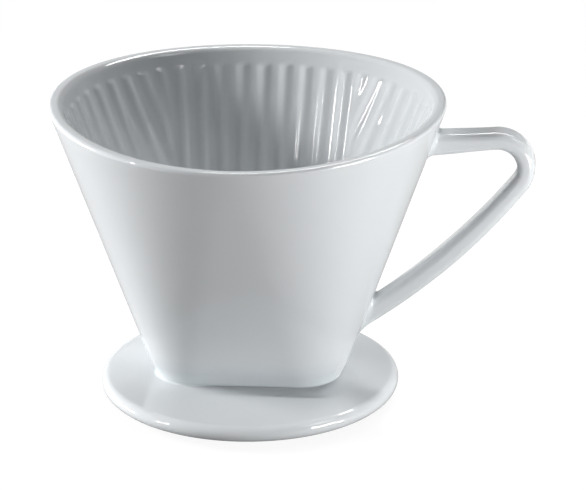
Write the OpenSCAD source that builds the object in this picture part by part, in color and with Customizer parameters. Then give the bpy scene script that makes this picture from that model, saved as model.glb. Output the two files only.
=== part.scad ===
// Ceramic pour over dripper: a wedge-shaped filter cone on a round saucer, with one side handle.
// Millimetres, +Z up. The origin is the centre of the face that the dripper stands on.
// +X points to the handle, and the flat wedge panels face -Y and +Y.

/* [Filter cone] */
// Outside diameter of the mouth
rim_d = 130; // [110:1:150]
// Height of the lip above the saucer, at the two ends of the wedge
cone_h = 96; // [80:1:115]
// How far the lip dips over the two flat panels
rim_dip = 2.3; // [0:0.1:5]
// Length of the foot along X
base_len = 63; // [52:1:76]
// Depth of the foot along Y
base_depth = 35.6; // [30:0.2:42]
// Corner radius of the foot's outline
base_r = 14; // [9:0.5:14.5]
// Wall thickness, measured level
wall_t = 4.6; // [3.6:0.1:6]
// Thickness of the floor
floor_t = 5; // [3.5:0.5:8]
// Radius of the lip's two edges
lip_r = 1.6; // [0.8:0.1:1.7]
// Radius under the foot's edge
foot_round = 2.4; // [1.2:0.1:3]
// Radius between the inner wall and the floor
floor_round = 4; // [2:0.5:6]

/* [Filter ribs] */
// Ribs around the mouth, with one in the middle of each flat panel
rib_count = 50; // [46:4:58]
// Ribs on one flat panel
panel_ribs = 9; // [7:2:11]
// How far a rib stands off the wall
rib_h = 0.7; // [0.5:0.1:1.6]
// Width of a rib at its foot
rib_w = 6.2; // [4:0.1:6.4]
// Smooth band between the lip and the tops of the ribs
rib_drop = 4.5; // [4:0.5:10]

/* [Drain holes] */
// Number of holes in a row along X
drain_count = 3; // [1:1:3]
// Diameter of a hole
drain_d = 4; // [2.5:0.5:6]
// Distance between holes
drain_pitch = 12; // [8:1:14]

/* [Saucer and locating ring] */
// Diameter of the saucer
saucer_d = 100; // [84:1:120]
// Thickness of the saucer
saucer_t = 5.4; // [4:0.2:8]
// Length of the opening under the drain holes
opening_len = 42; // [36:1:44]
// Width of that opening
opening_w = 14; // [10:1:18]
// Outside diameter of the locating ring, which sits inside a cup's mouth
ring_d = 64; // [56:1:72]
// Wall of the locating ring
ring_w = 4; // [3:0.5:6]
// Height of the locating ring
ring_h = 3; // [2:0.5:6]
// Radius of the ring's lower edges
ring_edge_r = 0.8; // [0.3:0.1:1.2]

/* [Handle] */
// Reach of the handle from the centre line
handle_reach = 94.4; // [88:0.2:104]
// Width of the handle along Y
handle_w = 9.9; // [7:0.1:14]
// Thickness of the handle at its bend
handle_t = 5.9; // [5.2:0.1:7]
// Thickness of the upper arm at the wall
root_t = 7.1; // [5.9:0.1:9]
// Thickness of the lower arm
arm_t = 6.4; // [5.4:0.1:8]
// Edge radius of the handle's section
handle_edge_r = 2.4; // [1:0.1:2.6]
// Depth of the upper arm's middle below the lip
upper_root_drop = 13.5; // [12:0.5:20]
// Depth of the bend's centre below the lip
bend_drop = 20.8; // [18:0.2:28]
// Height of the lower arm's middle above the saucer, at the wall
lower_root_h = 21.6; // [17:0.2:32]
// Radius of the bend, at the middle of the section
bend_r = 9.3; // [6:0.1:12]
// Radius that the lower arm bows with
arm_bow_r = 220; // [160:10:600]

/* [Slip joints] */
// Fillet of clay slip round the upper end of the handle
upper_slip_r = 1.6; // [1.2:0.1:3]
// Fillet of clay slip round the lower end of the handle
lower_slip_r = 2.2; // [1.2:0.1:3]
// Fillet of clay slip between the foot and the saucer
base_slip_r = 2.4; // [1:0.1:3]

/* [Hidden] */
$fn = 96;
// A cut reaches this far past the face that it goes through
past = 1;

// Heights
saucer_z = ring_h;
base_z = saucer_z + saucer_t;
rim_z = base_z + cone_h;
mouth_z = rim_z - lip_r;
floor_z = base_z + floor_t;
rib_top_z = rim_z - rib_drop;

// Columns of the wall: coarse columns on the smooth faces, and fine columns on the ribs
rib_step = 360 / rib_count;
coarse_per_rib = 2;
fine_per_rib = 4;
coarse_step = rib_step / coarse_per_rib;
fine_step = rib_step / fine_per_rib;
// The end's fan of ribs stops at this angle, where the panel's ribs start
fan_end = 90 - panel_ribs / 2 * rib_step;

function share(z) = (z - base_z) / (mouth_z - base_z);
function smooth(x) = let (c = min(1, max(0, x))) c * c * (3 - 2 * c);

// Section of the wall at height z: a rounded rectangle that opens into the mouth's circle
function straight_x(z) = (1 - share(z)) * (base_len / 2 - base_r);
function straight_y(z) = (1 - share(z)) * (base_depth / 2 - base_r);
function corner_r(z, inset) = base_r + (rim_d / 2 - base_r) * share(z) - inset;
function panel_edge(z, inset) = straight_x(z) + corner_r(z, inset) * cos(fan_end);

function quarter(a) = let (m = a % 180) m <= 90 ? m : 180 - m;
function sign_x(a) = cos(a) < 0 ? -1 : 1;
function sign_y(a) = sin(a) < 0 ? -1 : 1;

// One quarter of the section: even columns round the end, then even columns across the panel
function end_point(a, z, inset) = let (
        r = corner_r(z, inset),
        run = a / fan_end * (straight_y(z) + r * fan_end * PI / 180),
        turn = max(0, run - straight_y(z)) / r * 180 / PI)
    [straight_x(z) + r * cos(turn), min(run, straight_y(z)) + r * sin(turn)];
function panel_point(a, z, inset) = let (
        r = corner_r(z, inset),
        x = panel_edge(z, inset) * cos(a) / cos(fan_end),
        over = max(0, x - straight_x(z)))
    [x, straight_y(z) + sqrt(r * r - over * over)];
function quarter_point(a, z, inset) =
    a <= fan_end ? end_point(a, z, inset) : panel_point(a, z, inset);

// The lip dips over the panels, and the wall below it follows in its upper part
dip_from = 0.3;
function dip(a, z) = let (s = max(0, (share(z) - dip_from) / (1 - dip_from)))
    rim_dip * s * s * sin(a) * sin(a);
function wall_point(a, z, inset) = let (p = quarter_point(quarter(a), z, inset))
    [sign_x(a) * p[0], sign_y(a) * p[1], z - dip(a, z)];

// Ribs: even columns down the panels, and level lines across the ends that die out at the panels
rib_pitch = PI * (rim_d - 2 * wall_t) / rib_count;
rib_half = rib_w / 2 / rib_pitch;
rib_fade = 1.8;
fan_fade = 3;
function bump(turns) = let (d = abs(turns - floor(turns) - 0.5))
    d < rib_half ? 0.5 + 0.5 * cos(180 * d / rib_half) : 0;
function fan_bump(a, z) = let (
        p = end_point(a, z, wall_t),
        closing = panel_edge(z, wall_t) / panel_edge(rib_top_z, wall_t),
        level = p[1] / (corner_r(rib_top_z, wall_t) * closing))
    bump(asin(min(1, level)) / rib_step) * smooth((p[0] - panel_edge(z, wall_t)) / fan_fade);
function rib(a, z) = let (
        q = quarter(a),
        height = smooth((rib_top_z - z) / rib_fade) * smooth((z - rib_foot_z) / rib_fade))
    rib_h * height * (q < fan_end ? fan_bump(q, z) : bump(q / rib_step));

// Rings of points round the wall
function coarse_ring(z, inset) = [for (i = [0:rib_count * coarse_per_rib - 1])
    wall_point(i * coarse_step, z, inset)];
function rib_ring(z) = [for (i = [0:rib_count * fine_per_rib - 1])
    wall_point(i * fine_step, z, wall_t + rib(i * fine_step, z))];

arc_steps = 4;
function arc_angles(from, to) = [for (i = [0:arc_steps]) from + (to - from) * i / arc_steps];

// Outside of the cone, from the foot's edge up to the lip
foot_start = 20;
foot_rings = [for (b = arc_angles(foot_start, 90))
    coarse_ring(base_z + foot_round * (cos(foot_start) - cos(b)), foot_round * (1 - sin(b)))];
wall_levels = [0.12, 0.3, 0.5, 0.7, 0.86];
outer_rings = concat(foot_rings, [for (s = wall_levels) coarse_ring(base_z + s * cone_h, 0)]);
lip_out = [for (b = arc_angles(0, 90))
    coarse_ring(rim_z - lip_r * (1 - sin(b)), lip_r * (1 - cos(b)))];
lip_in = [for (b = arc_angles(90, 0))
    coarse_ring(rim_z - lip_r * (1 - sin(b)), wall_t - lip_r * (1 - cos(b)))];

// Inside of the cone, from the tops of the ribs down to the floor
rib_foot_z = floor_z + floor_round + 1;
rib_levels = 9;
rib_rings = concat([rib_ring(rib_top_z)],
    [for (i = [0:rib_levels]) let (top = rib_top_z - rib_fade, s = i / rib_levels)
        rib_ring(top + (rib_foot_z - top) * s)]);
floor_rings = [for (b = arc_angles(0, 90))
    coarse_ring(floor_z + floor_round * (1 - sin(b)), wall_t + floor_round * (1 - cos(b)))];

// A closed skin over a list of rings, where a ring may have a whole number of times the points of the next
function ring_starts(rings, i = 0, at = 0) =
    i == len(rings) ? [] : concat([at], ring_starts(rings, i + 1, at + len(rings[i])));
function even_band(n, lo, up) = [for (i = [0:n - 1]) let (j = (i + 1) % n)
    each [[lo + i, up + i, up + j], [lo + i, up + j, lo + j]]];
function opening_band(n, k, lo, up) = [for (i = [0:n - 1]) let (j = (i + 1) % n, half = floor(k / 2))
    each concat([[lo + i, up + k * i + half, lo + j]],
        [for (s = [0:k - 1])
            [lo + (s < half ? i : j), up + k * i + s, up + (k * i + s + 1) % (n * k)]])];
function flip(faces) = [for (f = faces) [f[0], f[2], f[1]]];
function band(n, m, lo, up) = n == m ? even_band(n, lo, up)
    : m > n ? opening_band(n, m / n, lo, up)
    : flip(opening_band(m, n / m, up, lo));
function middle(ring) = let (weights = [for (p = ring) 1 / len(ring)])
    [for (axis = [0:2]) [for (p = ring) p[axis]] * weights];

module skin(rings) {
    points = [for (ring = rings) each ring];
    starts = ring_starts(rings);
    last = len(rings) - 1;
    bottom = len(points);
    top = bottom + 1;
    bands = [for (i = [0:last - 1])
        each band(len(rings[i]), len(rings[i + 1]), starts[i], starts[i + 1])];
    bottom_cap = [for (i = [0:len(rings[0]) - 1]) [bottom, i, (i + 1) % len(rings[0])]];
    top_cap = [for (i = [0:len(rings[last]) - 1])
        [top, starts[last] + (i + 1) % len(rings[last]), starts[last] + i]];
    polyhedron(concat(points, [middle(rings[0]), middle(rings[last])]), concat(bands, bottom_cap, top_cap));
}

// The cone's outside as a full solid, which trims what is joined to it
module cone_envelope() skin(concat(outer_rings, [lip_out[0]]));

// Middle line of the handle in the XZ plane: upper arm, bend and bowed lower arm
wall_slope = (rim_d / 2 - base_len / 2) / (mouth_z - base_z);
function wall_x(z) = base_len / 2 + wall_slope * (z - base_z);
upper_root_z = rim_z - upper_root_drop;
lower_root_z = base_z + lower_root_h;
upper_root = [wall_x(upper_root_z), upper_root_z];
lower_root = [wall_x(lower_root_z), lower_root_z];
bend = [handle_reach - handle_t / 2 - bend_r, rim_z - bend_drop];

function heading(v) = atan2(v[1], v[0]);
function ray(a) = [cos(a), sin(a)];
to_bend = bend - upper_root;
upper_heading = heading(to_bend) + asin(bend_r / norm(to_bend));
bend_start = 90 + upper_heading;
to_root = lower_root - bend;
bow_out = arm_bow_r - bend_r;
bow_angle = acos((bow_out * bow_out + to_root * to_root - arm_bow_r * arm_bow_r)
    / (2 * bow_out * norm(to_root)));
bow_ray = heading(to_root) - bow_angle;
bow_centre = bend + bow_out * ray(bow_ray);
bend_end = bow_ray + 180;
bow_end = heading(lower_root - bow_centre);

// The ends run on into the wall, where the cone's outside trims them
upper_sink = 5;
lower_sink = 10;
sink_turn = lower_sink / arm_bow_r * 180 / PI;
bend_steps = 14;
bow_steps = 8;
upper_len = norm(bend + bend_r * ray(bend_start) - upper_root);

// Each station of the handle: middle point, heading and thickness
upper_stations = [for (s = [-upper_sink, 0, upper_len / 2])
    [upper_root + s * ray(upper_heading), upper_heading, root_t + (handle_t - root_t) * s / upper_len]];
bend_stations = [for (i = [0:bend_steps]) let (a = bend_start + (bend_end - bend_start) * i / bend_steps)
    [bend + bend_r * ray(a), a - 90, handle_t]];
bow_stations = [for (i = [1:bow_steps]) let (a = bend_end + (bow_end - sink_turn - bend_end) * i / bow_steps)
    [bow_centre + arm_bow_r * ray(a), a - 90, handle_t + (arm_t - handle_t) * min(1, 2 * i / bow_steps)]];

// Rounded section: p across the thickness and q along the width
edge_steps = 4;
function section(p_half, q_half, r) = [for (k = [0:3], i = [0:edge_steps]) let (
        a = 90 * k + 90 * i / edge_steps,
        p = (k == 0 || k == 3 ? 1 : -1) * (p_half - r),
        q = (k < 2 ? 1 : -1) * (q_half - r))
    [p + r * cos(a), q + r * sin(a)]];
function section_ring(middle, across, shape) = [for (s = shape)
    [middle[0] + across[0] * s[0], s[1], middle[1] + across[1] * s[0]]];
function station_ring(s) = section_ring(s[0], ray(s[1] - 90),
    section(s[2] / 2, handle_w / 2, handle_edge_r));

module handle_bar() skin([for (s = concat(upper_stations, bend_stations, bow_stations)) station_ring(s)]);

// A flared collar of slip on the wall round one end of the handle
wall_out = [1, -wall_slope] / norm([1, wall_slope]);
collar_angles = [0, 20, 40, 58, 72];
collar_sink = 2;
module collar(root, out, thick, r) {
    lean = out * wall_out;
    steps = concat([[-collar_sink, r]], [for (a = collar_angles) [r * (1 - cos(a)), r * (1 - sin(a))]]);
    skin([for (s = steps) section_ring(root + out * s[0] / lean, [wall_out[1], -wall_out[0]],
        [for (p = section(thick / 2 + s[1] * lean, handle_w / 2 + s[1], handle_edge_r + s[1] * lean))
            [p[0] / lean, p[1]]])]);
}

module filter_cone() color("whitesmoke") difference() {
    skin(concat(outer_rings, lip_out, lip_in, rib_rings, floor_rings));
    for (i = [0:drain_count - 1])
        translate([(i - (drain_count - 1) / 2) * drain_pitch, 0, base_z - past])
            cylinder(d = drain_d, h = floor_t + 2 * past);
}

module saucer() color("white") difference() {
    translate([0, 0, saucer_z]) rotate_extrude() {
        square([(saucer_d - saucer_t) / 2, saucer_t]);
        intersection() {
            translate([(saucer_d - saucer_t) / 2, saucer_t / 2]) circle(d = saucer_t);
            translate([(saucer_d - saucer_t) / 2, 0]) square([saucer_t, saucer_t]);
        }
    }
    translate([0, 0, saucer_z - past]) {
        for (side = [-1, 1])
            translate([side * (opening_len - opening_w) / 2, 0, 0])
                cylinder(d = opening_w, h = saucer_t + 2 * past);
        translate([-(opening_len - opening_w) / 2, -opening_w / 2, 0])
            cube([opening_len - opening_w, opening_w, saucer_t + 2 * past]);
    }
}

module locating_ring() color("gainsboro") rotate_extrude() translate([ring_d / 2 - ring_w, 0]) {
    translate([0, ring_edge_r]) square([ring_w, ring_h - ring_edge_r]);
    translate([ring_edge_r, 0]) square([ring_w - 2 * ring_edge_r, ring_edge_r]);
    for (x = [ring_edge_r, ring_w - ring_edge_r])
        translate([x, ring_edge_r]) circle(r = ring_edge_r);
}

module handle() color("white") difference() {
    handle_bar();
    cone_envelope();
}

module base_slip_joint() color("lightgray") difference() {
    contact = foot_round * (1 - sin(foot_start));
    skin([for (a = arc_angles(0, 75))
        coarse_ring(base_z + base_slip_r * (1 - cos(a)), contact - base_slip_r * (1 - sin(a)))]);
    cone_envelope();
}

module upper_handle_slip_joint() color("lightgray") difference() {
    collar(upper_root, ray(upper_heading), root_t, upper_slip_r);
    cone_envelope();
    handle_bar();
}

module lower_handle_slip_joint() color("lightgray") difference() {
    collar(lower_root, -ray(bow_end - 90), arm_t, lower_slip_r);
    cone_envelope();
    handle_bar();
}

filter_cone();
saucer();
locating_ring();
handle();
base_slip_joint();
upper_handle_slip_joint();
lower_handle_slip_joint();
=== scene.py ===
"""A glazed ceramic pour over dripper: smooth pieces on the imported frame, and a plain studio."""

import math

import bmesh
import bpy
import numpy as np
from bpy.props import FloatProperty, FloatVectorProperty, IntProperty, PointerProperty
from mathutils import Matrix, Vector


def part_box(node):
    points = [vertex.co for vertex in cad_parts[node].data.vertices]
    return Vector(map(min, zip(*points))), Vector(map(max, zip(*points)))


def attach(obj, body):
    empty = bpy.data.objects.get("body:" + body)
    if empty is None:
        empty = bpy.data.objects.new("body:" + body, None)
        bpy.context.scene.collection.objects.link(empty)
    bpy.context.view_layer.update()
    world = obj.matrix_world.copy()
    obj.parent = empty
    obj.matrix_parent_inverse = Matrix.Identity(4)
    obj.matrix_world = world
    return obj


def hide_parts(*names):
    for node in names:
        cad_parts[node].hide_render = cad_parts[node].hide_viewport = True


bl_info = {
    "name": "Pour over dripper",
    "version": (1, 0, 0),
    "blender": (4, 5, 0),
    "location": "3D View > Sidebar > Dripper",
    "description": "Makes the glazed pieces of a ceramic pour over dripper, and a plain studio",
    "category": "Object",
}

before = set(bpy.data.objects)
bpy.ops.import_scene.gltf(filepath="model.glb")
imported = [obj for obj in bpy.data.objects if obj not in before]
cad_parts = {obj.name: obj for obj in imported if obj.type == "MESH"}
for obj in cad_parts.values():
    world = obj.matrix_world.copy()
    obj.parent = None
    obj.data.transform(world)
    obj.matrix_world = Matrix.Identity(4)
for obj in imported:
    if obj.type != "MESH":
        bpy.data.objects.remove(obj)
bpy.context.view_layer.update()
CONE_LOW, CONE_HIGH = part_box("filter_cone")
SAUCER_LOW, SAUCER_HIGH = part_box("saucer")
RING_LOW, RING_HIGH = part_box("locating_ring")
HANDLE_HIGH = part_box("handle")[1]

PHOTO_WIDTH = 586
SENSOR_MM = 36

# Points round each piece. The cone's are counted to a rib
COARSE_PER_RIB = 4
FINE_PER_RIB = 12
SAUCER_POINTS = 240
RING_POINTS = 180
DRAIN_POINTS = 40

# Rings of points along each stretch of a piece
WALL_RINGS = 16
BAND_RINGS = 4
RIB_TOP_RINGS = 7
RIB_RINGS = 40
RIB_FOOT_RINGS = 5
SAUCER_TOP_RINGS = 40
UPPER_ARM_RINGS = 14
BEND_RINGS = 40
LOWER_ARM_RINGS = 44

# Steps round a quarter turn, on a rounded edge and on one that the glaze only softens
ROUND_STEPS = 8
SOFT_STEPS = 5

# Width of the flat strip beside a rounded edge, which keeps the shading of the flat clean
FLAT_STRIP = 0.0004
# Where the rounding under the cone's foot starts, in degrees from its lowest line
FOOT_START = 20
# Faces that meet at more than this angle keep a sharp edge
SHARP_ANGLE = math.radians(50)
# A sine or cosine nearer to 0 than this counts as 0
TINY = 1e-9

# The glassy skin of the glaze, and how high its ripple stands
GLAZE_IOR = 1.52
GLAZE_SPECULAR = 0.65
RIPPLE_HEIGHT = 0.0001
# How thick the glaze lies on the slip, from 0 to 1
COLLAR_GLAZE = 0.5
# Thick glaze on the bead, which also darkens it as painted shade of the crevice under the foot
BEAD_POOL_AND_SHADE = 0.8

# Lamps: name, azimuth, elevation, distance, width and height, watts, and whether the glaze
# mirrors it. Angles are in degrees and lengths in metres. Azimuth 0 is at the front, and 90 at
# the handle's side.
LAMPS = [
    ("left_box", -89, 26.5, 1.6, (0.8, 0.24), 22, False),
    ("left_low", -95, 0, 1.6, (0.3, 0.09), 15.5, True),
    ("low_strip", -65.5, 9, 1.6, (0.08, 0.16), 2, True),
    ("left_strip", -60.5, 19, 1.6, (0.07, 0.3), 3, True),
    ("right_box", 75, 0, 1.6, (0.12, 0.09), 5, True),
    ("right_near", 58, 2, 0.3, (0.10, 0.08), 0.49, True),
    ("top_box", 75, 50, 1.6, (0.5, 0.5), 2.5, True),
    ("back_box", 165, 50, 1.6, (1.0, 0.3), 13.5, True),
]
LAMP_TARGET = Vector((0, 0, 0.05))


def length(name, millimetres, description):
    """A length that the user sets, given here in millimetres and held in metres."""
    return FloatProperty(
        name=name, description=description, default=millimetres / 1000,
        unit="LENGTH", precision=4, min=0,
    )


def share(name, value, description):
    """A plain number from 0 to 1."""
    return FloatProperty(
        name=name, description=description, default=value, subtype="FACTOR", min=0, max=1
    )


def colour(name, value, description):
    """A colour that the user picks."""
    return FloatVectorProperty(
        name=name, description=description, default=value, subtype="COLOR", min=0, max=1
    )


class ConeSizes(bpy.types.PropertyGroup):
    rim_d: length("Mouth", 130, "Outside diameter of the mouth")
    base_len: length("Foot length", 63, "Length of the foot along X")
    base_depth: length("Foot depth", 35.6, "Depth of the foot along Y")
    base_r: length("Foot corners", 14, "Corner radius of the foot's outline")
    wall_t: length("Wall", 4.6, "Wall thickness, measured level")
    floor_t: length("Floor", 5, "Thickness of the floor")
    lip_r: length("Lip edges", 1.6, "Radius of the lip's two edges")
    rim_dip: length("Lip dip", 2.3, "How far the lip dips over the two flat panels")
    foot_round: length("Foot rounding", 2.4, "Radius under the foot's edge")
    crevice: length("Crevice", 0.3, "How far the foot stands clear of the saucer at the front")
    crevice_depth: length("Crevice depth", 8, "How far the crevice runs in under the foot")
    floor_round: length("Floor rounding", 4, "Radius between the inner wall and the floor")
    drain_d: length("Drain hole", 4, "Diameter of a drain hole")
    drain_pitch: length("Drain pitch", 12, "Distance between drain holes")
    drain_count: IntProperty(
        name="Drain holes", description="Holes in the row", default=3, min=1, max=3
    )


class RibSizes(bpy.types.PropertyGroup):
    count: IntProperty(
        name="Ribs", description="Ribs around the mouth", default=50, min=46, max=58, step=4
    )
    panel: IntProperty(
        name="Panel ribs", description="Ribs on one flat panel", default=9, min=7, max=11
    )
    height: length("Rib height", 0.7, "How far a rib stands off the wall")
    width: length("Rib width", 6.2, "Width of a rib at its foot")
    drop: length("Smooth band", 4.5, "Band between the lip and the tops of the ribs")


class SaucerSizes(bpy.types.PropertyGroup):
    opening_len: length("Opening length", 42, "Length of the opening under the drain holes")
    opening_w: length("Opening width", 14, "Width of that opening")
    opening_edge_r: length("Opening edges", 0.8, "Radius of the opening's edges")
    ring_w: length("Ring wall", 4, "Wall of the locating ring")
    ring_edge_r: length("Ring edges", 0.8, "Radius of the ring's lower edges")
    sag: length("Sag", 1.3, "How far the saucer sank away from the front of the foot in the kiln")


class HandleSizes(bpy.types.PropertyGroup):
    width: length("Width", 9.9, "Width of the handle along Y")
    bend_t: length("Bend thickness", 5.9, "Thickness at the bend")
    root_t: length("Upper root thickness", 7.1, "Thickness of the upper arm at the wall")
    arm_t: length("Lower arm thickness", 6.4, "Thickness of the lower arm")
    edge_r: length("Edges", 2.4, "Edge radius of the section")
    upper_root_drop: length("Upper root", 13.5, "Depth of the upper arm's middle below the lip")
    bend_drop: length("Bend centre", 20.8, "Depth of the bend's centre below the lip")
    lower_root_h: length("Lower root", 21.6, "Height of the lower arm's middle above the saucer")
    bend_r: length("Bend", 9.3, "Radius of the bend at the middle of the section")
    bow_r: length("Bow", 220, "Radius that the lower arm bows with")


class SlipSizes(bpy.types.PropertyGroup):
    upper_r: length("Upper slip", 1.6, "Fillet of slip round the handle's upper end")
    lower_r: length("Lower slip", 2.2, "Fillet of slip round the handle's lower end")
    thin_bead_r: length("Thin bead", 0.3, "Bead of slip under the front of the foot")
    full_bead_r: length("Full bead", 0.9, "Bead of slip where it was smoothed up the foot")


class GlazeLook(bpy.types.PropertyGroup):
    white: colour("Glaze", (0.73, 0.752, 0.768), "Colour of the white glaze")
    # This colour also darkens the foot's bead, partly as painted shade of the crevice under the
    # foot
    pooled: colour("Pooled glaze", (0.66, 0.70, 0.72), "Colour of the glaze where it lies thick")
    clay: colour("Bare clay", (0.78, 0.75, 0.70), "Colour of the unglazed foot")
    gloss: share("Glaze roughness", 0.06, "Mean roughness of the glaze")


class StudioLook(bpy.types.PropertyGroup):
    floor: colour("Floor", (0.2, 0.2, 0.2), "Colour of the pale floor")
    floor_glow: share("Floor glow", 0.9, "How much of the floor's white is there without light")
    # A glow of the floor, no lamp, that lights the object from below in place of light thrown up by
    # a pale floor
    floor_fill_glow: share("Floor lift", 0.07, "Light that the pale floor throws up on the object")
    ambient: share("Ambient", 0, "Level of the light from all round")
    room: share("Room", 0.15, "How bright the room in front is in a reflection")
    backdrop: share("Backdrop", 0.4, "How bright the backdrop is in a reflection")
    key: FloatProperty(
        name="Lamps", description="Strength of the lamps, as a share", default=1, min=0
    )


class DripperSettings(bpy.types.PropertyGroup):
    cone: PointerProperty(type=ConeSizes)
    ribs: PointerProperty(type=RibSizes)
    saucer: PointerProperty(type=SaucerSizes)
    handle: PointerProperty(type=HandleSizes)
    slip: PointerProperty(type=SlipSizes)
    glaze: PointerProperty(type=GlazeLook)
    studio: PointerProperty(type=StudioLook)


class Wall:
    """The cone's wall, in metres and degrees.

    It is a rounded rectangle at the foot that opens into the mouth's circle.
    DIP_FROM is the share of the height where the panels start to dip. The ribs grow to their
    full height over RIB_FADE at their ends, and over FAN_FADE beside a panel. RIB_FOOT is the
    smooth strip between the floor's rounding and the ribs.
    """

    DIP_FROM = 0.3
    RIB_FADE = 0.0018
    FAN_FADE = 0.003
    RIB_FOOT = 0.001

    def __init__(self, cone, ribs):
        self.cone, self.ribs = cone, ribs
        self.base_z, self.rim_z = CONE_LOW.z, CONE_HIGH.z
        self.rim_r = cone.rim_d / 2
        self.mouth_z = self.rim_z - cone.lip_r
        self.floor_z = self.base_z + cone.floor_t
        self.rib_top_z = self.rim_z - ribs.drop
        self.rib_foot_z = self.floor_z + cone.floor_round + self.RIB_FOOT
        self.rib_step = 360 / ribs.count
        self.fan_end = 90 - ribs.panel / 2 * self.rib_step

    def share(self, z):
        """How far up the wall a height is, from 0 at the foot to 1 at the mouth."""
        return (z - self.base_z) / (self.mouth_z - self.base_z)

    def straight_x(self, z):
        """Half the straight run of the section along X."""
        return (1 - self.share(z)) * (self.cone.base_len / 2 - self.cone.base_r)

    def straight_y(self, z):
        """Half the straight run of the section along Y."""
        return (1 - self.share(z)) * (self.cone.base_depth / 2 - self.cone.base_r)

    def corner_r(self, z, inset=0):
        """Radius of the section's corners."""
        return self.cone.base_r + (self.rim_r - self.cone.base_r) * self.share(z) - inset

    def panel_edge(self, z, inset):
        """Where the ribs of the flat panel end, along X."""
        return self.straight_x(z) + self.corner_r(z, inset) * math.cos(math.radians(self.fan_end))

    def quarter_point(self, quarter, z, inset):
        """X and Y in one quarter of the section: even columns round the end, then the panel."""
        along_x, along_y, r = self.straight_x(z), self.straight_y(z), self.corner_r(z, inset)
        run = quarter / self.fan_end * (along_y + r * math.radians(self.fan_end))
        turn = np.maximum(0, run - along_y) / r
        edge = self.panel_edge(z, inset)
        x = edge * np.cos(np.radians(quarter)) / math.cos(math.radians(self.fan_end))
        y = along_y + np.sqrt(np.maximum(0, r * r - np.maximum(0, x - along_x) ** 2))
        on_end = quarter <= self.fan_end
        return (
            np.where(on_end, along_x + r * np.cos(turn), x),
            np.where(on_end, np.minimum(run, along_y) + r * np.sin(turn), y),
        )

    @staticmethod
    def quarter(angles):
        """The same angles folded into the first quarter."""
        half = angles % 180
        return np.where(half <= 90, half, 180 - half)

    def ring(self, angles, z, inset):
        """Points round the wall at one height, which dips over the panels near the lip."""
        x, y = self.quarter_point(self.quarter(angles), z, inset)
        near_lip = max(0, (self.share(z) - self.DIP_FROM) / (1 - self.DIP_FROM))
        dip = self.cone.rim_dip * near_lip**2 * np.sin(np.radians(angles)) ** 2
        x = np.where(np.cos(np.radians(angles)) < -TINY, -x, x)
        y = np.where(np.sin(np.radians(angles)) < -TINY, -y, y)
        return np.column_stack([x, y, z - dip])

    def bump(self, turns):
        """Rounded section of a rib, once for each whole turn."""
        pitch = 2 * math.pi * (self.rim_r - self.cone.wall_t) / self.ribs.count
        half = self.ribs.width / 2 / pitch
        off = np.abs(turns - np.floor(turns) - 0.5)
        return np.where(off < half, 0.5 + 0.5 * np.cos(np.pi * off / half), 0)

    def rib(self, angles, z):
        """Height of the ribs: even columns down the panels, and a fan round the ends."""
        quarter, wall_t = self.quarter(angles), self.cone.wall_t
        x, y = self.quarter_point(np.minimum(quarter, self.fan_end), z, wall_t)
        closing = self.panel_edge(z, wall_t) / self.panel_edge(self.rib_top_z, wall_t)
        level = np.minimum(1, y / (self.corner_r(self.rib_top_z, wall_t) * closing))
        fan = self.bump(np.degrees(np.arcsin(level)) / self.rib_step)
        fan = fan * smooth((x - self.panel_edge(z, wall_t)) / self.FAN_FADE)
        height = smooth((self.rib_top_z - z) / self.RIB_FADE)
        height = height * smooth((z - self.rib_foot_z) / self.RIB_FADE)
        columns = self.bump(quarter / self.rib_step)
        return self.ribs.height * height * np.where(quarter < self.fan_end, fan, columns)

    def rib_ring(self, angles, z):
        """Points round the inside of the wall at one height, with its ribs."""
        return self.ring(angles, z, self.cone.wall_t + self.rib(angles, z))

    def outside(self, point):
        """How far a point at the handle's end stands off the wall, measured level."""
        x, y, z = point
        over_x = max(0, abs(x) - self.straight_x(z))
        over_y = max(0, abs(y) - self.straight_y(z))
        return math.hypot(over_x, over_y) - self.corner_r(z)

    def meet(self, point, way):
        """The point on the wall that a line through this point and along this way runs into."""
        reach, halvings = 0.03, 40
        low, high = -reach, reach
        for _ in range(halvings):
            middle = (low + high) / 2
            low, high = (middle, high) if self.outside(point + way * middle) < 0 else (low, middle)
        return point + way * low


def smooth(x):
    """A soft step from 0 to 1."""
    c = np.clip(x, 0, 1)
    return c * c * (3 - 2 * c)


def arc(start, end, steps):
    """Angles in radians, from start to end in degrees."""
    return np.radians(np.linspace(start, end, steps + 1))


def even_angles(count):
    """Angles in degrees, evenly round a full turn."""
    return np.arange(count) * 360 / count


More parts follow.
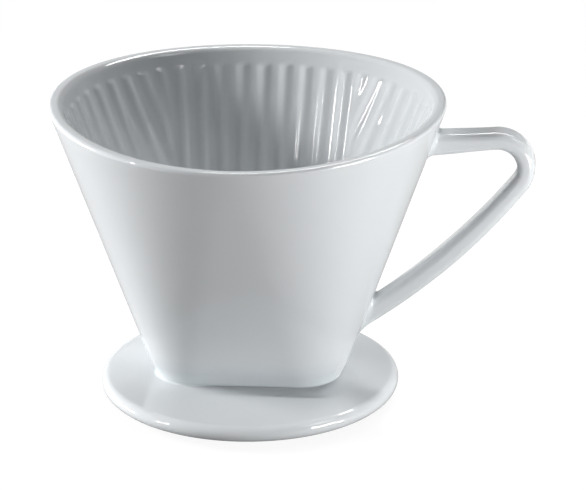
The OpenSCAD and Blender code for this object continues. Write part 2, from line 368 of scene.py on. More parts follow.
class Shell:
    """A closed skin made of rings of points."""

    def __init__(self):
        self.bm = bmesh.new()

    def ring(self, points):
        """Points of one ring."""
        return [self.bm.verts.new(p) for p in points]

    def join(self, a, b):
        """Faces between two rings, where one may have several times the points of the other."""
        if len(a) > len(b):
            a, b = b, a
        n, k = len(a), len(b) // len(a)
        for i in range(n):
            j = (i + 1) % n
            if k == 1:
                self.bm.faces.new((a[i], a[j], b[j], b[i]))
                continue
            half = k // 2
            fan = [b[(k * i + s) % len(b)] for s in range(k + 1)]
            self.bm.faces.new((a[i], a[j], fan[half]))
            for s in range(k):
                self.bm.faces.new((a[i] if s < half else a[j], fan[s + 1], fan[s]))

    def loft(self, rings, closed=False):
        """Joins rings in their order, and the last to the first where closed."""
        rings = [self.ring(r) for r in rings]
        for a, b in zip(rings, rings[1:] + rings[:1] if closed else rings[1:]):
            self.join(a, b)
        return rings

    def fill(self, *loops):
        """A flat face inside the first loop and outside the others."""
        edges = []
        for loop in loops:
            for a, b in zip(loop, loop[1:] + loop[:1]):
                edges.append(self.bm.edges.get((a, b)) or self.bm.edges.new((a, b)))
        bmesh.ops.triangle_fill(self.bm, use_beauty=True, use_dissolve=False, edges=edges)

    def cap(self, ring):
        """One face over the end of a bar."""
        self.bm.faces.new(ring)

    def piece(self, name, node, material, pool=None):
        """Turns the skin into a smooth piece that stands for a node.

        pool gives how thick the glaze lies at a point; on the foot's bead it is partly painted
        shade of the crevice.
        """
        bmesh.ops.recalc_face_normals(self.bm, faces=self.bm.faces)
        mesh = bpy.data.meshes.new(name)
        self.bm.to_mesh(mesh)
        self.bm.free()
        mesh.shade_smooth()
        mesh.set_sharp_from_angle(angle=SHARP_ANGLE)
        thick = mesh.attributes.new("pool", "FLOAT", "POINT")
        if pool:
            thick.data.foreach_set("value", [pool(v.co) for v in mesh.vertices])
        mesh.materials.append(material)
        obj = bpy.data.objects.new(name, mesh)
        bpy.context.scene.collection.objects.link(obj)
        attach(obj, "root")
        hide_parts(node)


def make_cone(settings):
    """The ribbed cone, with its lip, floor and drain holes, as one closed skin."""
    cone = settings.cone
    wall = Wall(cone, settings.ribs)
    coarse = even_angles(settings.ribs.count * COARSE_PER_RIB)
    fine = even_angles(settings.ribs.count * FINE_PER_RIB)

    foot_z = cone.foot_round * math.cos(math.radians(FOOT_START))
    lift = cone.crevice * front_share(coarse)
    foot = [
        foot_ring(wall, coarse, 0, cone.crevice_depth + FLAT_STRIP),
        foot_ring(wall, coarse, lift, cone.crevice_depth),
    ]
    for b in arc(FOOT_START, 90, ROUND_STEPS):
        rise = lift + (foot_z - lift) * (1 - math.cos(b) * cone.foot_round / foot_z)
        foot.append(foot_ring(wall, coarse, rise, cone.foot_round * (1 - math.sin(b))))

    wall_h = wall.mouth_z - wall.base_z
    lowest, highest = 0.06, 0.96
    shares = np.linspace(lowest, highest, WALL_RINGS)
    outside = [wall.ring(coarse, wall.base_z + s * wall_h, 0) for s in shares]

    def lip_ring(b, inset):
        """A ring of the lip at one turn of its rounding."""
        return wall.ring(coarse, wall.rim_z - cone.lip_r * (1 - math.sin(b)), inset)

    lip = [lip_ring(b, cone.lip_r * (1 - math.cos(b))) for b in arc(0, 90, ROUND_STEPS)]
    lip += [
        lip_ring(b, cone.wall_t - cone.lip_r * (1 - math.cos(b))) for b in arc(90, 0, ROUND_STEPS)
    ]

    band_levels = np.linspace(wall.mouth_z, wall.rib_top_z, BAND_RINGS)[1:-1]
    band = [wall.ring(coarse, z, cone.wall_t) for z in band_levels]
    fade = np.linspace(wall.rib_top_z, wall.rib_top_z - wall.RIB_FADE, RIB_TOP_RINGS)
    foot_fade = np.linspace(wall.rib_foot_z + wall.RIB_FADE, wall.rib_foot_z, RIB_FOOT_RINGS)
    run = np.linspace(fade[-1], foot_fade[0], RIB_RINGS)[1:-1]
    ribbed = [wall.rib_ring(fine, z) for z in [*fade, *run, *foot_fade]]

    hollow = []
    for b in arc(0, 90, ROUND_STEPS):
        z = wall.floor_z + cone.floor_round * (1 - math.sin(b))
        inset = cone.wall_t + cone.floor_round * (1 - math.cos(b))
        hollow.append(wall.ring(coarse, z, inset))
    flat_inset = cone.wall_t + cone.floor_round + FLAT_STRIP
    hollow.append(wall.ring(coarse, wall.floor_z, flat_inset))

    shell = Shell()
    rings = shell.loft([*foot, *outside, *lip, *band, *ribbed, *hollow])
    tops, bottoms = [], []
    for i in range(cone.drain_count):
        middle = (i - (cone.drain_count - 1) / 2) * cone.drain_pitch
        hole = shell.loft(drain_rings(wall, cone, middle))
        tops.append(hole[0])
        bottoms.append(hole[-1])
    shell.fill(rings[-1], *tops)
    shell.fill(rings[0], *bottoms)

    pool_depth, pool_half = 0.009, 0.03

    def pool(point):
        """The glaze runs together in the bottom of the cone."""
        if abs(point.x) >= pool_half:
            return 0.0
        return float(smooth((wall.floor_z + pool_depth - point.z) / pool_depth))

    shell.piece("glazed_cone", "filter_cone", glaze_material(settings.glaze), pool)


def front_share(angles):
    """How open the joint under the foot is, from 0 at the left to 1 right of the front's middle."""
    start, end, turn = 245, 350, 45
    return smooth((angles - start) / turn) * smooth((end - angles) / turn)


def foot_ring(wall, angles, height, inset):
    """A ring round the foot, at a height above the saucer that may change along it."""
    points = wall.ring(angles, wall.base_z, inset)
    points[:, 2] = wall.base_z + height
    return points


def drain_rings(wall, cone, middle):
    """One drain hole from the floor down to the underside, with its edges softened by the glaze."""
    r, top_soft, low_soft, strip = cone.drain_d / 2, 0.0006, 0.0003, 0.0003
    low_steps = 3
    profile = [(r + top_soft + strip, wall.floor_z)]
    for b in arc(0, 90, SOFT_STEPS):
        profile.append(
            (r + top_soft * (1 - math.sin(b)), wall.floor_z - top_soft * (1 - math.cos(b)))
        )
    for b in arc(90, 0, low_steps):
        profile.append(
            (r + low_soft * (1 - math.sin(b)), wall.base_z + low_soft * (1 - math.cos(b)))
        )
    angles = np.radians(even_angles(DRAIN_POINTS))
    return [circle(angles, radius, z, middle) for radius, z in profile]


def circle(angles, r, z, middle=0):
    """Points of a level circle, whose middle may lie along X."""
    return np.column_stack(
        [middle + r * np.cos(angles), r * np.sin(angles), np.full(len(angles), z)]
    )


def make_saucer(settings):
    """The round plate with its full rounded edge and the opening under the drain holes."""
    saucer = settings.saucer
    low, high = SAUCER_LOW.z, SAUCER_HIGH.z
    edge_r = (high - low) / 2
    radius = (SAUCER_HIGH.y - SAUCER_LOW.y) / 2
    angles = np.radians(even_angles(SAUCER_POINTS))

    def opening(grow, z):
        """The slot with round ends, grown by a margin."""
        reach = (saucer.opening_len - saucer.opening_w) / 2
        side = np.where(np.abs(np.cos(angles)) > TINY, np.sign(np.cos(angles)), 0)
        return circle(angles, saucer.opening_w / 2 + grow, z, reach * side)

    def top(inner, outer):
        """The top, which sank away from the foot at the front, to the right of the middle."""
        left, left_run, right, right_run = -0.02, 0.038, 0.034, 0.012
        back, back_run, front, front_run = -0.01, 0.007, -0.0245, 0.0065
        clear = 0.02
        for part in np.linspace(clear, 1 - clear, SAUCER_TOP_RINGS):
            ring = outer + (inner - outer) * part
            x, y = ring[:, 0], ring[:, 1]
            along = smooth((x - left) / left_run) * smooth((right - x) / right_run)
            across = smooth((back - y) / back_run) * smooth((y - front) / front_run)
            ring[:, 2] -= saucer.sag * along * across
            yield ring

    soft, edge_steps = saucer.opening_edge_r, 20
    flat_r = radius - edge_r
    rounding = [
        circle(angles, flat_r + edge_r * math.cos(b), low + edge_r * (1 + math.sin(b)))
        for b in arc(-90, 90, edge_steps)
    ]
    mouth = [
        opening(soft * (1 - math.cos(b)), high - soft * (1 - math.sin(b)))
        for b in arc(90, 0, SOFT_STEPS)
    ] + [
        opening(soft * (1 - math.cos(b)), low + soft * (1 - math.sin(b)))
        for b in arc(0, 90, SOFT_STEPS)
    ]
    flat_in, flat_out = soft + FLAT_STRIP, flat_r - FLAT_STRIP
    underside = [opening(flat_in, low), circle(angles, flat_out, low)]
    inner, outer = opening(flat_in, high), circle(angles, flat_out, high)
    shell = Shell()
    shell.loft([*underside, *rounding, outer, *top(inner, outer), inner, *mouth], closed=True)
    shell.piece("glazed_saucer", "saucer", glaze_material(settings.glaze))


def make_ring(settings):
    """The ring that drops into a cup's mouth, with its wiped foot."""
    saucer = settings.saucer
    low, high = RING_LOW.z, RING_HIGH.z
    outer = (RING_HIGH.y - RING_LOW.y) / 2
    inner, soft, weld = outer - saucer.ring_w, saucer.ring_edge_r, 0.0007
    foot_steps = 6

    def corner(side, out, edge, up, r, turns):
        """A rounded corner of the ring's section."""
        return [
            (side + out * r * (1 - math.cos(b)), edge + up * r * (1 - math.sin(b))) for b in turns
        ]

    profile = [
        *corner(outer, -1, low, 1, soft, arc(90, 0, foot_steps)),
        *corner(outer, 1, high, -1, weld, arc(0, 90, SOFT_STEPS)),
        *corner(inner, -1, high, -1, weld, arc(90, 0, SOFT_STEPS)),
        *corner(inner, 1, low, 1, soft, arc(0, 90, foot_steps)),
    ]
    angles = np.radians(even_angles(RING_POINTS))
    shell = Shell()
    shell.loft([circle(angles, r, z) for r, z in profile], closed=True)
    shell.piece("foot_ring", "locating_ring", wiped_foot_material(settings.glaze))


class HandlePath:
    """Middle line of the handle in the XZ plane: upper arm, bend and bowed lower arm.

    The ends run on into the wall by UPPER_SINK and LOWER_SINK. The lower arm has its full
    thickness from FULL_FROM on, as a share of its run.
    """

    UPPER_SINK = 0.004
    LOWER_SINK = 0.006
    FULL_FROM = 0.5

    def __init__(self, settings):
        cone, self.sizes = settings.cone, settings.handle
        h = self.sizes
        self.wall = Wall(cone, settings.ribs)
        slope = (self.wall.rim_r - cone.base_len / 2) / (self.wall.mouth_z - self.wall.base_z)
        base_z, rim_z = self.wall.base_z, self.wall.rim_z
        upper_z, lower_z = rim_z - h.upper_root_drop, base_z + h.lower_root_h
        self.wall_out = np.array([1, -slope]) / math.hypot(slope, 1)
        self.upper_root = np.array([cone.base_len / 2 + slope * (upper_z - base_z), upper_z])
        self.lower_root = np.array([cone.base_len / 2 + slope * (lower_z - base_z), lower_z])
        self.bend = np.array([HANDLE_HIGH.x - h.bend_t / 2 - h.bend_r, rim_z - h.bend_drop])
        to_bend, to_root = self.bend - self.upper_root, self.lower_root - self.bend
        self.upper_heading = heading(to_bend) + math.asin(h.bend_r / np.linalg.norm(to_bend))
        reach, bow_out = np.linalg.norm(to_root), h.bow_r - h.bend_r
        open_angle = math.acos((bow_out**2 + reach**2 - h.bow_r**2) / (2 * bow_out * reach))
        bow_ray = heading(to_root) - open_angle
        self.bow_centre = self.bend + bow_out * ray(bow_ray)
        self.bend_start, self.bend_end = self.upper_heading + math.pi / 2, bow_ray + math.pi
        self.bow_end = heading(self.lower_root - self.bow_centre)

    def stations(self):
        """Middle point, heading and thickness, from the upper root to the lower one."""
        h = self.sizes
        start = self.bend + h.bend_r * ray(self.bend_start)
        run = np.linalg.norm(start - self.upper_root)
        for s in np.linspace(-self.UPPER_SINK, run, UPPER_ARM_RINGS)[:-1]:
            thick = h.root_t + (h.bend_t - h.root_t) * float(smooth(s / run))
            yield self.upper_root + s * ray(self.upper_heading), self.upper_heading, thick
        for a in np.linspace(self.bend_start, self.bend_end, BEND_RINGS):
            yield self.bend + h.bend_r * ray(a), a - math.pi / 2, h.bend_t
        sunk = self.bow_end - self.LOWER_SINK / h.bow_r
        for a in np.linspace(self.bend_end, sunk, LOWER_ARM_RINGS)[1:]:
            gone = (a - self.bend_end) / (self.bow_end - self.bend_end)
            thick = h.bend_t + (h.arm_t - h.bend_t) * float(smooth(gone / self.FULL_FROM))
            yield self.bow_centre + h.bow_r * ray(a), a - math.pi / 2, thick


def heading(v):
    """Angle of a way in its plane."""
    return math.atan2(v[1], v[0])


def ray(angle):
    """A way of length 1 at this angle."""
    return np.array([math.cos(angle), math.sin(angle)])


def section(thick, wide, r):
    """Rounded section as pairs: across the thickness, and along the width."""
    points = []
    for k in range(4):
        p = (thick / 2 - r) * (1 if k in (0, 3) else -1)
        q = (wide / 2 - r) * (1 if k < 2 else -1)
        for a in arc(90 * k, 90 * k + 90, ROUND_STEPS):
            points.append((p + r * math.cos(a), q + r * math.sin(a)))
    return np.array(points)


def section_ring(middle, across, shape):
    """The section set on its middle point, with its thickness along the way across."""
    thick, wide = shape[:, 0], shape[:, 1]
    return np.column_stack([middle[0] + across[0] * thick, wide, middle[1] + across[1] * thick])


def make_handle(settings):
    """The bar of the handle, whose ends run on into the wall."""
    path, h = HandlePath(settings), settings.handle
    shell = Shell()
    rings = shell.loft([
        section_ring(middle, ray(way - math.pi / 2), section(thick, h.width, h.edge_r))
        for middle, way, thick in path.stations()
    ])
    shell.cap(rings[0])
    shell.cap(rings[-1])
    shell.piece("glazed_handle", "handle", glaze_material(settings.glaze))


def make_collar(settings, path, name, node, root, way, thick, slip_r):
    """A flared collar of slip that runs from the wall into the handle without a step."""
    h = settings.handle
    lean = float(way @ path.wall_out)
    along = np.array([way[0], 0, way[1]])
    down_wall = np.array([path.wall_out[1], -path.wall_out[0]])
    inside, flare_end, flare_steps = -35, 84, 12
    rings = []
    for b in [math.radians(inside), *arc(0, flare_end, flare_steps)]:
        off = slip_r * (1 - math.sin(max(0, b)))
        out = slip_r * (1 - math.cos(b)) * (1 if b >= 0 else -1)
        shape = section(thick + 2 * off * lean, h.width + 2 * off, h.edge_r + off * lean)
        shape[:, 0] /= lean
        ring = section_ring(root, down_wall, shape)
        rings.append([path.wall.meet(p, along) + along * out / lean for p in ring])
    shell = Shell()
    made = shell.loft(rings)
    shell.cap(made[0])
    shell.cap(made[-1])
    shell.piece(name, node, glaze_material(settings.glaze), lambda point: COLLAR_GLAZE)


def make_handle_collars(settings):
    """The slip round both ends of the handle."""
    path, h, slip = HandlePath(settings), settings.handle, settings.slip
    make_collar(
        settings, path, "upper_slip_collar", "upper_handle_slip_joint",
        path.upper_root, ray(path.upper_heading), h.root_t, slip.upper_r,
    )
    make_collar(
        settings, path, "lower_slip_collar", "lower_handle_slip_joint",
        path.lower_root, -ray(path.bow_end - math.pi / 2), h.arm_t, slip.lower_r,
    )


def make_base_bead(settings):
    """The bead of slip round the foot: thin at the front, and smoothed up the foot at the left."""
    cone, slip = settings.cone, settings.slip
    wall = Wall(cone, settings.ribs)
    angles = even_angles(settings.ribs.count * COARSE_PER_RIB)
    foot_r = cone.foot_round
    foot_z = foot_r * math.cos(math.radians(FOOT_START))
    smoothed_at, thin_from, thicken, inner_share = 190, 0.35, 0.5, 1.1
    round_left = smooth((np.cos(np.radians(angles - smoothed_at)) - thin_from) / thicken)
    bead = slip.thin_bead_r + (slip.full_bead_r - slip.thin_bead_r) * round_left
    middle = foot_r - np.sqrt((bead + foot_r) ** 2 - (foot_z - bead) ** 2)
    touch = np.arctan2(foot_z - bead, foot_r - middle)
    set_back = (cone.crevice_depth - foot_r) * front_share(angles)
    middle = middle + set_back
    rings = []
    for i in range(ROUND_STEPS + 1):
        turn = (np.pi / 2 + touch) * i / ROUND_STEPS
        height, inset = bead * (1 - np.cos(turn)), middle + bead * np.sin(turn)
        rings.append(foot_ring(wall, angles, height, inset))
    inner = foot_r * inner_share + set_back
    rings.append(foot_ring(wall, angles, rings[-1][:, 2] - wall.base_z, inner))
    rings.append(foot_ring(wall, angles, 0, inner))
    shell = Shell()
    shell.loft(rings, closed=True)
    glaze = glaze_material(settings.glaze)
    # The bead's thick glaze darkens it, partly as painted shade of the crevice under the foot
    shell.piece("base_slip_bead", "base_slip_joint", glaze, lambda point: BEAD_POOL_AND_SHADE)


def tree_of(material):
    """The empty node tree of a material or world."""
    material.use_nodes = True
    tree = material.node_tree
    tree.nodes.clear()
    return tree


def fired_surface_group():
    """Shader node group for fired clay: a drifting tint, an uneven gloss and a faint ripple."""
    name = "Fired surface"
    if name in bpy.data.node_groups:
        return bpy.data.node_groups[name]
    group = bpy.data.node_groups.new(name, "ShaderNodeTree")
    add = group.interface.new_socket
    for label, kind, value in [
        ("Thin colour", "NodeSocketColor", (0.8, 0.8, 0.8, 1)),
        ("Thick colour", "NodeSocketColor", (0.7, 0.7, 0.7, 1)),
        ("Thickness", "NodeSocketFloat", 0.0),
        ("Drift", "NodeSocketFloat", 0.2),
        ("Roughness", "NodeSocketFloat", 0.1),
        ("Roughness spread", "NodeSocketFloat", 0.03),
        ("Ripple size", "NodeSocketFloat", 500.0),
    ]:
        add(name=label, in_out="INPUT", socket_type=kind).default_value = value
    add(name="Colour", in_out="OUTPUT", socket_type="NodeSocketColor")
    add(name="Roughness", in_out="OUTPUT", socket_type="NodeSocketFloat")
    add(name="Height", in_out="OUTPUT", socket_type="NodeSocketFloat")
    nodes, links = group.nodes, group.links
    given, out = nodes.new("NodeGroupInput"), nodes.new("NodeGroupOutput")
    place = nodes.new("ShaderNodeTexCoord")

    def noise(scale, detail):
        """A cloudy pattern, whose scale is a number or a socket."""
        made = nodes.new("ShaderNodeTexNoise")
        made.inputs["Detail"].default_value = detail
        links.new(place.outputs["Object"], made.inputs["Vector"])
        if isinstance(scale, (int, float)):
            made.inputs["Scale"].default_value = scale
        else:
            links.new(scale, made.inputs["Scale"])
        return made.outputs["Fac"]

    def math_node(operation, a, b):
        """One step of arithmetic on two numbers or sockets."""
        made = nodes.new("ShaderNodeMath")
        made.operation = operation
        for socket, value in zip(made.inputs, (a, b)):
            if isinstance(value, (int, float)):
                socket.default_value = value
            else:
                links.new(value, socket)
        return made.outputs[0]

    tint_scale, tint_base, gloss_scale = 70, 0.35, 180
    tint = math_node("SUBTRACT", noise(tint_scale, detail=3), tint_base)
    drift = math_node("MULTIPLY", tint, given.outputs["Drift"])
    amount = math_node("ADD", given.outputs["Thickness"], drift)
    amount.node.use_clamp = True
    mix = nodes.new("ShaderNodeMix")
    mix.data_type = "RGBA"
    links.new(amount, mix.inputs["Factor"])
    links.new(given.outputs["Thin colour"], mix.inputs["A"])
    links.new(given.outputs["Thick colour"], mix.inputs["B"])
    links.new(mix.outputs["Result"], out.inputs["Colour"])
    gloss = math_node("SUBTRACT", noise(gloss_scale, detail=2), 0.5)
    uneven = math_node("MULTIPLY", gloss, given.outputs["Roughness spread"])
    links.new(math_node("ADD", given.outputs["Roughness"], uneven), out.inputs["Roughness"])
    links.new(noise(given.outputs["Ripple size"], detail=1.5), out.inputs["Height"])
    return group


def fired_nodes(tree, values):
    """Places the fired surface in a material with its own values, and gives the node back."""
    node = tree.nodes.new("ShaderNodeGroup")
    node.node_tree = fired_surface_group()
    for label, value in values.items():
        socket = node.inputs[label]
        socket.default_value = (*value, 1) if socket.type == "RGBA" else value
    return node


def glaze_values(look):
    """What the white glaze gives to the fired surface."""
    return {
        "Thin colour": look.white, "Thick colour": look.pooled, "Drift": 0.25,
        "Roughness": look.gloss, "Roughness spread": 0.04, "Ripple size": 260.0,
    }


def surface(tree, colour_socket, roughness, height, ripple):
    """Ends a material in a glassy shader with this colour, roughness and ripple."""
    nodes, links = tree.nodes, tree.links
    bump = nodes.new("ShaderNodeBump")
    bump.inputs["Strength"].default_value = ripple
    bump.inputs["Distance"].default_value = RIPPLE_HEIGHT
    links.new(height, bump.inputs["Height"])
    shader = nodes.new("ShaderNodeBsdfPrincipled")
    shader.inputs["IOR"].default_value = GLAZE_IOR
    shader.inputs["Specular IOR Level"].default_value = GLAZE_SPECULAR
    links.new(colour_socket, shader.inputs["Base Color"])
    links.new(roughness, shader.inputs["Roughness"])
    links.new(bump.outputs["Normal"], shader.inputs["Normal"])
    output = nodes.new("ShaderNodeOutputMaterial")
    links.new(shader.outputs["BSDF"], output.inputs["Surface"])


def glaze_material(look):
    """Cool white glaze, cooler where thick; on the foot's bead that is partly painted shade."""
    name = "white_glaze"
    if name in bpy.data.materials:
        return bpy.data.materials[name]
    material = bpy.data.materials.new(name)
    tree = tree_of(material)
    skin = fired_nodes(tree, glaze_values(look))
    pool = tree.nodes.new("ShaderNodeAttribute")
    pool.attribute_name = "pool"
    tree.links.new(pool.outputs["Fac"], skin.inputs["Thickness"])
    out = skin.outputs
    surface(tree, out["Colour"], out["Roughness"], out["Height"], ripple=0.12)
    return material


def wiped_foot_material(look):
    """Glaze down the sides of the foot ring, and bare clay where its foot was wiped."""
    material = bpy.data.materials.new("wiped_foot")
    tree = tree_of(material)
    nodes, links = tree.nodes, tree.links
    glaze = fired_nodes(tree, {**glaze_values(look), "Thickness": 0.3})
    darker = 0.86
    clay = fired_nodes(tree, {
        "Thin colour": look.clay, "Thick colour": tuple(c * darker for c in look.clay),
        "Drift": 0.9, "Roughness": 0.78, "Roughness spread": 0.15, "Ripple size": 1600.0,
    })
    wiped_to, glazed_from, waver_scale, waver_height = 0.0014, 0.0019, 220, 0.0012
    place = nodes.new("ShaderNodeTexCoord")
    split = nodes.new("ShaderNodeSeparateXYZ")
    links.new(place.outputs["Object"], split.inputs["Vector"])
    waver = nodes.new("ShaderNodeTexNoise")
    waver.inputs["Scale"].default_value = waver_scale
    links.new(place.outputs["Object"], waver.inputs["Vector"])
    edge = nodes.new("ShaderNodeMath")
    edge.operation = "MULTIPLY_ADD"
    links.new(waver.outputs["Fac"], edge.inputs[0])
    edge.inputs[1].default_value = waver_height
    links.new(split.outputs["Z"], edge.inputs[2])
    glazed = nodes.new("ShaderNodeMapRange")
    glazed.inputs["From Min"].default_value = wiped_to
    glazed.inputs["From Max"].default_value = glazed_from
    links.new(edge.outputs[0], glazed.inputs["Value"])

    def blend(kind, ending, label):
        """Clay below the wavering edge, and glaze above it."""
        mix = nodes.new("ShaderNodeMix")
        mix.data_type = kind
        links.new(glazed.outputs["Result"], mix.inputs["Factor"])
        sockets = {s.identifier: s for s in [*mix.inputs, *mix.outputs]}
        links.new(clay.outputs[label], sockets["A_" + ending])
        links.new(glaze.outputs[label], sockets["B_" + ending])
        return sockets["Result_" + ending]

    surface(
        tree, blend("RGBA", "Color", "Colour"), blend("FLOAT", "Float", "Roughness"),
        blend("FLOAT", "Float", "Height"), ripple=0.3,
    )
    return material


def either(tree, *values):
    """A mask that is 1 where any of these is."""
    most = values[0]
    for value in values[1:]:
        node = tree.nodes.new("ShaderNodeMath")
        node.operation = "MAXIMUM"
        tree.links.new(most, node.inputs[0])
        tree.links.new(value, node.inputs[1])
        most = node.outputs[0]
    return most


def mixed(tree, factor, a, b):
    """One shader where the factor is 0 and the other where it is 1."""
    mix = tree.nodes.new("ShaderNodeMixShader")
    tree.links.new(factor, mix.inputs["Fac"])
    tree.links.new(a, mix.inputs[1])
    tree.links.new(b, mix.inputs[2])
    return mix.outputs[0]


def floor_material(look):
    """Pale floor that looks white, keeps the shadow, glows onto the object and is open from below.
    """
    material = bpy.data.materials.new("pale_floor")
    tree = tree_of(material)
    nodes, links = tree.nodes, tree.links
    path, face = nodes.new("ShaderNodeLightPath"), nodes.new("ShaderNodeNewGeometry")
    shadow_grey, mirror_grey = (0.15,) * 3, (0.45,) * 3
    white_from, white_to = 0.16, 0.45

    def matt(tone):
        """A matt shader of one tone."""
        made = nodes.new("ShaderNodeBsdfDiffuse")
        made.inputs["Color"].default_value = (*tone, 1)
        return made.outputs[0]

    def glowing(tone, strength):
        """A matt shader with a glow added."""
        glow, both = nodes.new("ShaderNodeEmission"), nodes.new("ShaderNodeAddShader")
        glow.inputs["Strength"].default_value = strength
        links.new(matt(tone), both.inputs[0])
        links.new(glow.outputs[0], both.inputs[1])
        return both.outputs[0]

    # The floor glows for the rays that light the object: a painted fill light from below
    glowing_floor = glowing(look.floor, look.floor_fill_glow)
    shadowed = glowing(shadow_grey, look.floor_glow)
    white = nodes.new("ShaderNodeEmission")
    place = nodes.new("ShaderNodeTexCoord")
    away = nodes.new("ShaderNodeVectorMath")
    away.operation = "LENGTH"
    links.new(place.outputs["Object"], away.inputs[0])
    far = nodes.new("ShaderNodeMapRange")
    far.interpolation_type = "SMOOTHSTEP"
    far.inputs["From Min"].default_value = white_from
    far.inputs["From Max"].default_value = white_to
    links.new(away.outputs["Value"], far.inputs["Value"])
    rays = ("Is Camera Ray", "Is Glossy Ray", "Is Transmission Ray")
    shown = either(tree, *(path.outputs[ray_kind] for ray_kind in rays))
    near = mixed(tree, path.outputs["Is Camera Ray"], matt(mirror_grey), shadowed)
    seen = mixed(tree, far.outputs["Result"], near, white.outputs[0])
    top = mixed(tree, shown, glowing_floor, seen)
    clear = nodes.new("ShaderNodeBsdfTransparent")
    output = nodes.new("ShaderNodeOutputMaterial")
    both_sides = mixed(tree, face.outputs["Backfacing"], top, clear.outputs[0])
    links.new(both_sides, output.inputs["Surface"])
    return material


def make_world(look):
    """A white backdrop behind the object and a dim room in front, as the glaze mirrors them."""
    world = bpy.data.worlds.new("studio")
    bpy.context.scene.world = world
    tree = tree_of(world)
    nodes, links = tree.nodes, tree.links
    path, place = nodes.new("ShaderNodeLightPath"), nodes.new("ShaderNodeTexCoord")
    split = nodes.new("ShaderNodeSeparateXYZ")
    links.new(place.outputs["Generated"], split.inputs["Vector"])
    behind = nodes.new("ShaderNodeMapRange")
    behind.interpolation_type = "SMOOTHSTEP"
    dim_to, bright_from, cool_white = -0.2, 0.5, (0.94, 0.97, 1, 1)
    span = {
        "From Min": dim_to, "From Max": bright_from, "To Min": look.room, "To Max": look.backdrop,
    }
    for name, value in span.items():
        behind.inputs[name].default_value = value
    links.new(split.outputs["Y"], behind.inputs["Value"])
    fill, mirrored, white = (nodes.new("ShaderNodeBackground") for _ in range(3))
    fill.inputs["Strength"].default_value = look.ambient
    mirrored.inputs["Color"].default_value = cool_white
    links.new(behind.outputs["Result"], mirrored.inputs["Strength"])
    shown = either(tree, path.outputs["Is Camera Ray"], path.outputs["Is Transmission Ray"])
    lit = mixed(tree, path.outputs["Is Glossy Ray"], fill.outputs[0], mirrored.outputs[0])
    output = nodes.new("ShaderNodeOutputWorld")
    links.new(mixed(tree, shown, lit, white.outputs[0]), output.inputs["Surface"])


def make_lamp(name, azimuth, elevation, distance, size, watts, mirrored):
    """A soft rectangular lamp that faces the object."""
    a, e = math.radians(azimuth), math.radians(elevation)
    back = Vector((math.sin(a) * math.cos(e), -math.cos(a) * math.cos(e), math.sin(e)))
    light = bpy.data.lights.new(name, "AREA")
    light.shape = "RECTANGLE"
    light.size, light.size_y = size
    light.energy = watts
    lamp = bpy.data.objects.new(name, light)
    lamp.location = LAMP_TARGET + back * distance
    lamp.rotation_euler = back.to_track_quat("Z", "Y").to_euler()
    lamp.visible_camera = False
    lamp.visible_glossy = mirrored
    bpy.context.scene.collection.objects.link(lamp)


def make_camera():
    """The photograph's view, with the object left of the middle."""
    elevation, azimuth, roll = math.radians(21.454), math.radians(5.867), math.radians(-0.5)
    distance, focus_px, middle_z = 1.126786, 3386.742, 0.053119
    aside_px, down_px = 44.05, 0.72
    level = math.cos(elevation)
    back = Vector((level * math.sin(azimuth), -level * math.cos(azimuth), math.sin(elevation)))
    right = Vector((math.cos(azimuth), math.sin(azimuth), 0))
    up = back.cross(right)
    tilt_cos, tilt_sin = math.cos(roll), math.sin(roll)
    right, up = tilt_cos * right + tilt_sin * up, tilt_cos * up - tilt_sin * right
    axis = (back - right * aside_px / focus_px + up * down_px / focus_px).normalized()
    right = (right - axis * right.dot(axis)).normalized()
    up = axis.cross(right)
    data = bpy.data.cameras.new("photo_view")
    data.sensor_width = SENSOR_MM
    data.lens = focus_px * SENSOR_MM / PHOTO_WIDTH
    data.clip_end = 50
    camera = bpy.data.objects.new("photo_view", data)
    turn = Matrix((right, up, axis)).transposed().to_4x4()
    camera.matrix_world = Matrix.Translation(Vector((0, 0, middle_z)) + back * distance) @ turn
    bpy.context.scene.collection.objects.link(camera)
    bpy.context.scene.camera = camera


def make_floor(look):
    """The wide pale floor under the object."""
    mesh = bpy.data.meshes.new("floor")
    half = 6
    corners = [(-half, -half, 0), (half, -half, 0), (half, half, 0), (-half, half, 0)]
    mesh.from_pydata(corners, [], [(0, 1, 2, 3)])
    mesh.materials.append(floor_material(look))
    floor = bpy.data.objects.new("floor", mesh)
    bpy.context.scene.collection.objects.link(floor)


def make_stage(settings):
    """The floor, the backdrop, the lamps and the camera."""
    look = settings.studio
    bpy.context.scene.view_settings.view_transform = "Standard"
    make_floor(look)
    make_world(look)
    for name, azimuth, elevation, distance, size, watts, mirrored in LAMPS:
        make_lamp(name, azimuth, elevation, distance, size, watts * look.key, mirrored)
    make_camera()


class DRIPPER_OT_filter_cone(bpy.types.Operator):
    """Make the ribbed filter cone with its lip, floor and drain holes"""

    bl_idname = "dripper.filter_cone"
    bl_label = "Filter cone"

    def execute(self, context):
        make_cone(context.scene.dripper)
        return {"FINISHED"}


class DRIPPER_OT_saucer(bpy.types.Operator):
    """Make the saucer with its rounded edge and its opening"""

    bl_idname = "dripper.saucer"
    bl_label = "Saucer"

    def execute(self, context):
        make_saucer(context.scene.dripper)
        return {"FINISHED"}


class DRIPPER_OT_locating_ring(bpy.types.Operator):
    """Make the locating ring under the saucer, with its wiped foot"""

    bl_idname = "dripper.locating_ring"
    bl_label = "Locating ring"

    def execute(self, context):
        make_ring(context.scene.dripper)
        return {"FINISHED"}


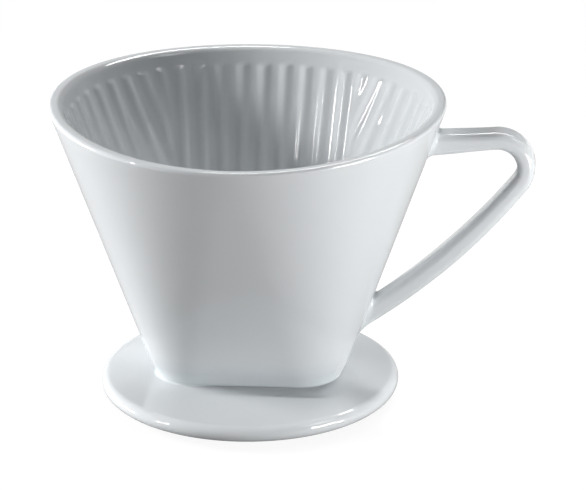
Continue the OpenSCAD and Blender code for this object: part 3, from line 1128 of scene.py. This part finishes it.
class DRIPPER_OT_handle(bpy.types.Operator):
    """Make the bar of the handle"""

    bl_idname = "dripper.handle"
    bl_label = "Handle"

    def execute(self, context):
        make_handle(context.scene.dripper)
        return {"FINISHED"}


class DRIPPER_OT_slip_joints(bpy.types.Operator):
    """Make the slip that joins the handle to the wall and the foot to the saucer"""

    bl_idname = "dripper.slip_joints"
    bl_label = "Slip joints"

    def execute(self, context):
        make_handle_collars(context.scene.dripper)
        make_base_bead(context.scene.dripper)
        return {"FINISHED"}


class DRIPPER_OT_stage(bpy.types.Operator):
    """Make the pale floor, the soft lamps and the camera"""

    bl_idname = "dripper.stage"
    bl_label = "Studio"

    def execute(self, context):
        make_stage(context.scene.dripper)
        return {"FINISHED"}


OPERATORS = (
    DRIPPER_OT_filter_cone, DRIPPER_OT_saucer, DRIPPER_OT_locating_ring,
    DRIPPER_OT_handle, DRIPPER_OT_slip_joints, DRIPPER_OT_stage,
)


class DRIPPER_PT_pieces(bpy.types.Panel):
    """Sizes, colours and buttons for the dripper's pieces"""

    bl_idname = "DRIPPER_PT_pieces"
    bl_label = "Pour over dripper"
    bl_space_type = "VIEW_3D"
    bl_region_type = "UI"
    bl_category = "Dripper"

    def draw(self, context):
        settings = context.scene.dripper
        for title in settings.__annotations__:
            group = getattr(settings, title)
            box = self.layout.box()
            box.label(text=title.capitalize())
            for key in group.__annotations__:
                box.prop(group, key)
        for operator in OPERATORS:
            self.layout.operator(operator.bl_idname)


CLASSES = (
    ConeSizes, RibSizes, SaucerSizes, HandleSizes, SlipSizes, GlazeLook, StudioLook,
    DripperSettings, *OPERATORS, DRIPPER_PT_pieces,
)


def register():
    for cls in CLASSES:
        bpy.utils.register_class(cls)
    bpy.types.Scene.dripper = PointerProperty(type=DripperSettings)


def unregister():
    del bpy.types.Scene.dripper
    for cls in reversed(CLASSES):
        bpy.utils.unregister_class(cls)


def main():
    register()
    bpy.ops.dripper.filter_cone()
    bpy.ops.dripper.saucer()
    bpy.ops.dripper.locating_ring()
    bpy.ops.dripper.handle()
    bpy.ops.dripper.slip_joints()
    bpy.ops.dripper.stage()


if __name__ == "__main__":
    main()
